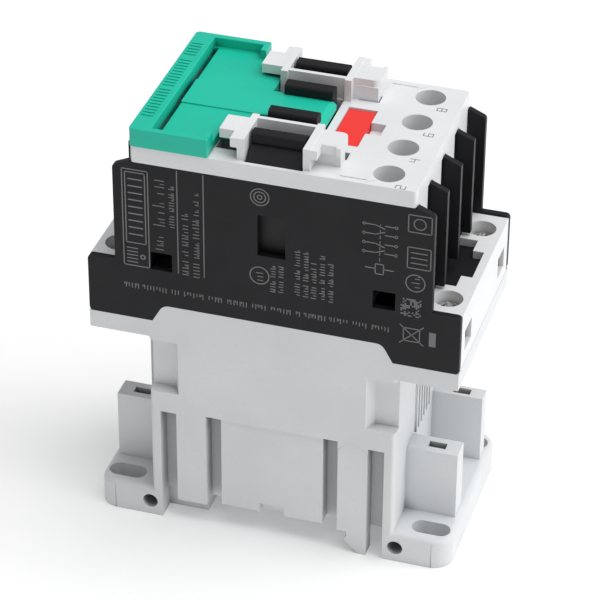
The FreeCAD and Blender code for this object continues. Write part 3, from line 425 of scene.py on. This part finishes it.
def cut_shape(shape, cutter):
    """The solid difference of two closed shapes, as mesh data."""
    objects = []
    for name, made in (("blank", shape), ("cutter", cutter)):
        bmesh.ops.recalc_face_normals(made, faces=made.faces)
        data = bpy.data.meshes.new(name)
        made.to_mesh(data)
        made.free()
        item = bpy.data.objects.new(name, data)
        bpy.context.scene.collection.objects.link(item)
        objects.append(item)
    blank, knife = objects
    cutting = blank.modifiers.new("cut", "BOOLEAN")
    cutting.operation = "DIFFERENCE"
    cutting.solver = "EXACT"
    cutting.use_self = True
    cutting.object = knife
    graph = bpy.context.evaluated_depsgraph_get()
    result = bpy.data.meshes.new_from_object(blank.evaluated_get(graph))
    for item in objects:
        bpy.data.objects.remove(item)
    return result


def screw_mesh(head_radius, shank_radius, low, under, top, pitch):
    """One pan-head screw on the vertical axis, from its tip to its domed head."""
    core = shank_radius - THREAD_DEPTH * pitch
    rings = [plain_ring(core * POINT_SHARE, low), plain_ring(core, low + POINT_HIGH)]
    rings += thread_rings(core, shank_radius, low + THREAD_START, under - NECK_HIGH, pitch)
    rings += [plain_ring(core, under), plain_ring(head_radius * 0.93, under)]
    rings.append(plain_ring(head_radius * 0.995, under + HEAD_EDGE))
    for share, rise in HEAD_DOME:
        if rise > 0:
            rings.append(plain_ring(head_radius * share, under + (top - under) * rise))
    shape = bmesh.new()
    add_rings(shape, rings)
    return cut_shape(shape, cross_cutter(top))


MAIN_PITCH = 0.7 * MM
COIL_PITCH = 0.6 * MM
HEAD_GAP = 0.05 * MM
MAIN_SHANK = 0.629
COIL_SHANK = 0.5


def add_screws():
    """Every terminal screw, standing where its CAD node stands and turned by chance."""
    kinds = {}
    for name in NODES:
        if "_screw_" not in name:
            continue
        low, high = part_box(name)
        head_radius = (high[0] - low[0]) / 2
        is_coil = name.startswith("coil_")
        if is_coil not in kinds:
            clamp_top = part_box(name.replace("_screw_", "_clamp_"))[1][2]
            shank = (COIL_SHANK if is_coil else MAIN_SHANK) * head_radius
            pitch = COIL_PITCH if is_coil else MAIN_PITCH
            levels = low[2], clamp_top + HEAD_GAP, high[2]
            kinds[is_coil] = screw_mesh(head_radius, shank, *levels, pitch)
        middle = Vector(((low[0] + high[0]) / 2, (low[1] + high[1]) / 2, 0))
        data = kinds[is_coil].copy()
        data.transform(Matrix.Translation(middle) @ Matrix.Rotation(GRAIN.uniform(0, math.pi), 4, "Z"))
        data.materials.clear()
        data.materials.append(MATERIALS["screw_steel"])
        screw = bpy.data.objects.new(f"turned_{name}", data)
        bpy.context.scene.collection.objects.link(screw)
        shade_smooth(screw)
        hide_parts(name)
        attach(screw, name)


# ---- springs and winding ------------------------------------------------------------------------

WIRE_SIDES = 10
STEPS_PER_TURN = 28
CLOSED_TURNS = 0.9


def wound_wire(shape, centre, radius, wire, low, high, turns):
    """A compression spring of round wire with closed ends."""
    steps = round(turns * STEPS_PER_TURN)
    share = CLOSED_TURNS / turns
    closed_rise = wire * CLOSED_TURNS
    bottom, top = low + wire / 2, high - wire / 2
    rings = []
    for step in range(steps + 1):
        along = step / steps
        angle = 2 * math.pi * turns * along
        if along < share:
            height = bottom + closed_rise * along / share
        elif along > 1 - share:
            height = top - closed_rise * (1 - along) / share
        else:
            open_share = (along - share) / (1 - 2 * share)
            height = bottom + closed_rise + (top - bottom - 2 * closed_rise) * open_share
        outward = Vector((math.cos(angle), math.sin(angle), 0))
        middle = centre + radius * outward + Vector((0, 0, height))
        ring = []
        for side in range(WIRE_SIDES):
            turn = 2 * math.pi * side / WIRE_SIDES
            ring.append(middle + wire / 2 * (math.cos(turn) * outward + Vector((0, 0, math.sin(turn)))))
        rings.append(ring)
    add_rings(shape, rings)


SPRINGS = {
    "open_pole_springs": (0.4 * MM, 6, "open_bridges", "carrier"),
    "closed_pole_springs": (0.4 * MM, 6, "carrier", "closed_bridges"),
    "return_spring": (0.8 * MM, 5, "housing", "carrier"),
}


def add_springs():
    """Wound wire springs built in place of the CAD spring nodes, where those nodes stand."""
    for name, (wire, turns, lower_body, upper_body) in SPRINGS.items():
        low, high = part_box(name)
        outer = high[0]
        shape = bmesh.new()
        offsets = {0.0}
        if high[1] > 1.5 * outer:
            offsets = {high[1] - outer, low[1] + outer}
        for across in sorted(offsets):
            centre = Vector((0, across, 0))
            wound_wire(shape, centre, outer - wire / 2, wire, low[2], high[2], turns)
        piece = add_piece(f"wound_{name}", shape, "spring_steel")
        shade_smooth(piece)
        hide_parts(name)
        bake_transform(piece)


WINDING_WIRE = 0.62 * MM
WINDING_BORE = 7.25 * MM
WINDING_COUNT = 96
WINDING_ROWS = 6
WINDING_GROOVE = 0.3


def add_winding():
    """The magnet coil with its outer layer of enamelled turns."""
    low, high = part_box("coil_winding")
    outer = high[0]
    rows = round((high[2] - low[2]) / WINDING_WIRE * WINDING_ROWS)
    heights = [low[2] + (high[2] - low[2]) * row / rows for row in range(rows + 1)]

    def radius_at(height, angle):
        phase = (height - low[2]) / WINDING_WIRE - angle / (2 * math.pi)
        return outer - WINDING_GROOVE * WINDING_WIRE * (1 - abs(math.sin(math.pi * phase)))

    skin = turned(radius_at, heights, Vector(), WINDING_COUNT)
    bore = turned(lambda _height, _angle: WINDING_BORE, [high[2], low[2]], Vector(), WINDING_COUNT)
    shape = bmesh.new()
    loops = [[shape.verts.new(point) for point in ring] for ring in skin + bore]
    for lower, upper in zip(loops, loops[1:] + loops[:1]):
        for index in range(WINDING_COUNT):
            after = (index + 1) % WINDING_COUNT
            shape.faces.new((lower[index], lower[after], upper[after], upper[index]))
    piece = add_piece("wound_coil", shape, "winding_copper")
    shade_smooth(piece)
    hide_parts("coil_winding")
    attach(piece, "housing")


# ---- marks --------------------------------------------------------------------------------------

LINE = 0.24 * MM
SINK = 0.06 * MM
PRINT_RISE = 0.02 * MM
RAISED = 0.2 * MM
MARK_ROUND = 4


class Marks:
    """Flat marks in millimetres on one face: along, up, and outward from it."""

    def __init__(self, origin, along, up, rise):
        self.origin, self.along, self.up = Vector(origin), Vector(along), Vector(up)
        self.out = self.along.cross(self.up)
        self.rise = rise
        self.shape = bmesh.new()

    def place(self, spot, lift):
        return self.origin + MM * (spot[0] * self.along + spot[1] * self.up) + lift * self.out

    def plate(self, outline):
        """A thin closed plate with the given outline, sunk a little into the face."""
        levels = (-SINK, self.rise)
        add_rings(self.shape, [[self.place(spot, lift) for spot in outline] for lift in levels])

    def bar(self, low, high):
        self.plate([(low[0], low[1]), (high[0], low[1]), (high[0], high[1]), (low[0], high[1])])

    def stroke(self, start, end, width=LINE / MM):
        """A straight line with round ends."""
        heading = math.atan2(end[1] - start[1], end[0] - start[0])
        outline = []
        for spot, turn in ((end, heading - math.pi / 2), (start, heading + math.pi / 2)):
            for step in range(MARK_ROUND + 1):
                angle = turn + math.pi * step / MARK_ROUND
                reach = width / 2
                outline.append((spot[0] + reach * math.cos(angle), spot[1] + reach * math.sin(angle)))
        self.plate(outline)

    def path(self, spots, width=LINE / MM):
        for start, end in zip(spots, spots[1:]):
            self.stroke(start, end, width)

    def frame(self, low, high):
        corners = [low, (high[0], low[1]), high, (low[0], high[1]), low]
        self.path(corners)

    def ring(self, centre, radius, width=LINE / MM, count=40):
        """A flat ring as one closed band."""
        loops = []
        for reach, lift in ((-1, -SINK), (1, -SINK), (1, self.rise), (-1, self.rise)):
            loop = []
            for index in range(count):
                angle = 2 * math.pi * index / count
                away = radius + reach * width / 2
                spot = (centre[0] + away * math.cos(angle), centre[1] + away * math.sin(angle))
                loop.append(self.shape.verts.new(self.place(spot, lift)))
            loops.append(loop)
        for lower, upper in zip(loops, loops[1:] + loops[:1]):
            for index in range(count):
                after = (index + 1) % count
                self.shape.faces.new((lower[index], lower[after], upper[after], upper[index]))

    def ticks(self, start, end, height, word=5):
        """A run of plain upright ticks in groups, which stands in for a line of print."""
        run = Vector((end[0] - start[0], end[1] - start[1]))
        heading = run.normalized()
        side = Vector((-heading.y, heading.x))
        pitch = 0.62 * height
        count = int(run.length / pitch)
        left = word
        for index in range(count + 1):
            left -= 1
            if left < 0:
                left = GRAIN.randint(2, word + 2)
                continue
            foot = Vector(start) + heading * pitch * index
            tall = height * GRAIN.choice((0.55, 0.8, 1.0, 1.0))
            self.stroke(foot, foot + side * tall, 0.2)
            if GRAIN.random() < 0.35:
                between = foot + heading * 0.5 * pitch
                self.stroke(between, between + side * 0.4 * tall, 0.17)

    def finish(self, name, slot, body, material=None):
        piece = add_piece(name, self.shape, slot, material)
        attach(piece, body)
        return piece


def contact_diagram(marks, left):
    """A plain wiring diagram: four switched lines over one coil box."""
    for row, height in enumerate((88.9, 86.6, 84.3, 82.0)):
        slant = 0.75 if row % 2 else -0.75
        marks.stroke((left, height), (left + 2.1, height))
        marks.stroke((left + 2.1, height), (left + 4.1, height + slant))
        marks.stroke((left + 4.2, height), (left + 6.2, height))
        marks.ring((left - 0.45, height), 0.3, 0.18, 12)
        marks.ring((left + 6.65, height), 0.3, 0.18, 12)
    for height in (80.0, 81.4, 82.8, 84.2, 85.6, 87.0, 88.4):
        marks.stroke((left + 3.1, height), (left + 3.1, height + 0.7), 0.18)
    marks.frame((left + 2.2, 76.7), (left + 4.0, 79.2))
    marks.stroke((left, 78.0), (left + 2.2, 78.0))
    marks.stroke((left + 4.0, 78.0), (left + 6.2, 78.0))


# Places on the near wall, in millimetres along it and up from the mounting face.
GRID_CELLS = 11
GRID_STEP = 0.42
CENTRE_COLUMNS = ((0.9, 67.5, 74.4), (2.7, 67.7, 74.8))
RATING_COLUMNS = (
    (6.4, 67.8, 78.9),
    (8.3, 67.7, 79.0),
    (10.1, 67.6, 76.9),
    (12.0, 67.8, 78.8),
    (13.9, 67.4, 77.3),
)


def mark_near_side():
    """Pale print on the near black wall: frames, plain rings, ticks, a diagram and a small grid."""
    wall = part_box("contact_chamber")[0][1]
    marks = Marks((0, wall, 0), (1, 0, 0), (0, 0, 1), PRINT_RISE)
    marks.frame((-33.8, 68.1), (-27.9, 92.6))
    marks.frame((-33.1, 74.0), (-28.6, 91.9))
    for step in range(9):
        marks.stroke((-32.4, 76.2 + 1.75 * step), (-29.3, 76.2 + 1.75 * step), 0.3)
    for step in range(5):
        marks.stroke((-33.0, 69.0 + 0.9 * step), (-30.6, 69.0 + 0.9 * step))
    marks.ring((-29.4, 70.6), 0.5, 0.3, 16)
    marks.ticks((-24.2, 79.6), (-24.2, 91.4), 2.6, 4)
    marks.ticks((-24.6, 73.4), (-24.6, 77.6), 1.7, 4)
    marks.ticks((-22.0, 79.6), (-22.0, 90.0), 1.1)
    marks.stroke((-21.25, 68.1), (-21.25, 94.0))
    marks.ticks((-18.9, 68.0), (-18.9, 83.4), 1.35)
    marks.ticks((-16.4, 67.8), (-16.4, 89.4), 1.35)
    marks.stroke((-15.3, 68.1), (-15.3, 94.0))
    marks.ring((-2.6, 90.94), 2.05)
    marks.ring((-2.6, 90.94), 1.3)
    marks.ring((-2.6, 90.94), 0.5)
    marks.ring((-2.68, 71.1), 2.15)
    marks.ticks((-1.9, 69.9), (-1.9, 72.4), 1.5, 3)
    for across, low, high in CENTRE_COLUMNS:
        marks.ticks((across, low), (across, high), 1.05)
    for across, low, high in RATING_COLUMNS:
        marks.ticks((across, low), (across, high), 1.1)
    contact_diagram(marks, 21.0)
    marks.frame((30.2, 88.6), (35.3, 92.8))
    marks.ring((32.7, 90.7), 1.3)
    marks.frame((30.2, 79.6), (35.3, 84.8))
    for height in (80.9, 82.2, 83.5):
        marks.stroke((31.0, height), (34.5, height))
    marks.ring((32.1, 75.9), 2.1)
    marks.ticks((33.0, 74.9), (33.0, 77.2), 1.7, 3)
    for column in range(GRID_CELLS):
        for row in range(GRID_CELLS):
            if GRAIN.random() < 0.5:
                left, low = 29.0 + GRID_STEP * column, 67.2 + GRID_STEP * row
                marks.bar((left, low), (left + 0.85 * GRID_STEP, low + 0.85 * GRID_STEP))
    marks.frame((29.8, 60.9), (33.4, 64.2))
    marks.stroke((29.0, 60.2), (34.2, 64.9))
    marks.stroke((29.0, 64.9), (34.2, 60.2))
    marks.bar((35.5, 60.4), (37.0, 64.0))
    marks.ticks((26.4, 63.4), (-34.2, 63.4), 1.15, 6)
    marks.finish("near_side_print", "chamber_black", "housing", "pale_print")


DIGIT_SEGMENTS = {
    "1": "bc",
    "2": "abged",
    "3": "abgcd",
    "4": "fgbc",
    "5": "afgcd",
    "6": "afgedc",
    "7": "abc",
    "8": "abcdefg",
}
SEGMENT_LINES = {
    "a": ((0, 2), (1, 2)),
    "b": ((1, 2), (1, 1)),
    "c": ((1, 1), (1, 0)),
    "d": ((0, 0), (1, 0)),
    "e": ((0, 0), (0, 1)),
    "f": ((0, 1), (0, 2)),
    "g": ((0, 1), (1, 1)),
}
DIGIT_WIDE = 1.15
DIGIT_TALL = 2.1


def digit(marks, text, middle):
    """One small numeral made of straight strokes."""
    for segment in DIGIT_SEGMENTS[text]:
        spots = []
        for right, rise in SEGMENT_LINES[segment]:
            across = middle[0] + (right - 0.5) * DIGIT_WIDE
            spots.append((across, middle[1] + (rise - 1) * DIGIT_TALL / 2))
        marks.stroke(*spots, 0.2)


POLE_PITCH = 11.35
NUMERAL_ALONG = 28.0
NUMERAL_SHIFT = 4.6
COVER_GAP = 0.05 * MM
ARROW_ROWS = (-20.6, 20.9)
ARROW_TAIL = 14.7
ARROW_NECK = 20.6
ARROW_TIP = 22.2
ARROW_HALF = 0.4
ARROW_HEAD = 1.3


def mark_cover():
    """Terminal numerals beside the driver holes and an arrow at each side edge."""
    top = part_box("slide_cover")[0][2] - COVER_GAP
    numerals = Marks((0, 0, top), (0, 1, 0), (-1, 0, 0), PRINT_RISE)
    for end, first in ((1, 2), (-1, 1)):
        for pole in range(4):
            across = (pole - 1.5) * POLE_PITCH - NUMERAL_SHIFT
            digit(numerals, str(first + 2 * pole), (across, -end * NUMERAL_ALONG))
    numerals.finish("terminal_numerals", "cover_grey", "housing", "grey_print")
    arrows = Marks((0, 0, top), (1, 0, 0), (0, 1, 0), RAISED)
    for across in ARROW_ROWS:
        outline = [
            (ARROW_TAIL, across - ARROW_HALF),
            (ARROW_NECK, across - ARROW_HALF),
            (ARROW_NECK, across - ARROW_HEAD),
            (ARROW_TIP, across),
            (ARROW_NECK, across + ARROW_HEAD),
            (ARROW_NECK, across + ARROW_HALF),
            (ARROW_TAIL, across + ARROW_HALF),
        ]
        arrows.plate(outline)
    arrows.finish("cover_arrows", "cover_grey", "housing")


RIB_GROUPS = ((-16.4, 10), (-2.6, 10), (12.0, 5))
RIB_PITCH = 1.3
RIB_WIDE = 0.5
RIB_ENDS = (28.6, 30.9)


def mark_guard():
    """Raised ribs in groups on the slide cover's grip."""
    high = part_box("slide_cover")[1]
    grip = Marks((0, 0, high[2]), (0, 1, 0), (-1, 0, 0), RAISED)
    for start, count in RIB_GROUPS:
        for step in range(count):
            across = start + RIB_PITCH * step
            grip.stroke((across, RIB_ENDS[0]), (across, RIB_ENDS[1]), RIB_WIDE)
    grip.finish("grip_ribs", "guard_green", "slide_cover")


# ---- camera, floor and light --------------------------------------------------------------------

CAMERA_AZIMUTH = math.radians(16.81)
CAMERA_ELEVATION = math.radians(33.527)
CAMERA_ROLL = math.radians(0.418)
CAMERA_DISTANCE = 649.85 * MM
CAMERA_LENS = 172.27
CAMERA_AIM = Vector((0, 0, 50 * MM))
CAMERA_SHIFT = (-0.261 * MM, 0.886 * MM)
FLOOR_HALF = 3
FLOOR_GLOW = 0.14
SKY_GLOW = 0.36
LIGHTS = {
    "key": ((0.3, 0.05, 1.0), 1.0, 8.1),
    "side": ((0.9, 0.05, 0.4), 0.8, 3.3),
}


def add_camera():
    """A long lens, turned to the load side and looking down on the front."""
    back = Vector(
        (
            math.sin(CAMERA_AZIMUTH) * math.cos(CAMERA_ELEVATION),
            -math.cos(CAMERA_AZIMUTH) * math.cos(CAMERA_ELEVATION),
            math.sin(CAMERA_ELEVATION),
        )
    )
    right = Vector((math.cos(CAMERA_AZIMUTH), math.sin(CAMERA_AZIMUTH), 0))
    up = back.cross(right)
    level_right = math.cos(CAMERA_ROLL) * right + math.sin(CAMERA_ROLL) * up
    level_up = math.cos(CAMERA_ROLL) * up - math.sin(CAMERA_ROLL) * right
    aim = CAMERA_AIM + CAMERA_SHIFT[0] * level_right + CAMERA_SHIFT[1] * level_up
    data = bpy.data.cameras.new("camera")
    data.lens = CAMERA_LENS
    data.clip_start = 0.01
    camera = bpy.data.objects.new("camera", data)
    rotation = Matrix((level_right, level_up, back)).transposed()
    camera.matrix_world = Matrix.Translation(aim + CAMERA_DISTANCE * back) @ rotation.to_4x4()
    bpy.context.scene.collection.objects.link(camera)
    bpy.context.scene.camera = camera


def add_light(name, place, size, power):
    """A soft square light aimed at the middle of the object."""
    data = bpy.data.lights.new(name, "AREA")
    data.size = size
    data.energy = power
    light = bpy.data.objects.new(name, data)
    light.location = place
    light.rotation_euler = (CAMERA_AIM - Vector(place)).to_track_quat("-Z", "Y").to_euler()
    bpy.context.scene.collection.objects.link(light)


def add_floor():
    grid = bpy.data.meshes.new("floor")
    shape = bmesh.new()
    bmesh.ops.create_grid(shape, x_segments=1, y_segments=1, size=FLOOR_HALF)
    shape.to_mesh(grid)
    shape.free()
    floor = bpy.data.objects.new("floor", grid)
    surface = Surface("floor_paper")
    tone = surface.spread(surface.noise(3, 2), 0.3, 0.7)
    paper = surface.mix(tone, srgb(250, 250, 250), srgb(254, 254, 254))
    surface.shader.inputs["Emission Color"].default_value = (1, 1, 1, 1)
    surface.shader.inputs["Emission Strength"].default_value = FLOOR_GLOW
    grid.materials.append(surface.finish(paper, 0.7))
    bpy.context.scene.collection.objects.link(floor)


def add_world():
    world = bpy.data.worlds.new("studio")
    world.use_nodes = True
    background = world.node_tree.nodes["Background"]
    background.inputs["Color"].default_value = (1, 1, 1, 1)
    background.inputs["Strength"].default_value = SKY_GLOW
    bpy.context.scene.world = world


def set_stage():
    add_camera()
    add_floor()
    add_world()
    for name, settings in LIGHTS.items():
        add_light(name, *settings)
    bpy.context.scene.view_settings.view_transform = "Standard"


finish_nodes()
add_screws()
add_springs()
add_winding()
mark_near_side()
mark_cover()
mark_guard()
set_stage()
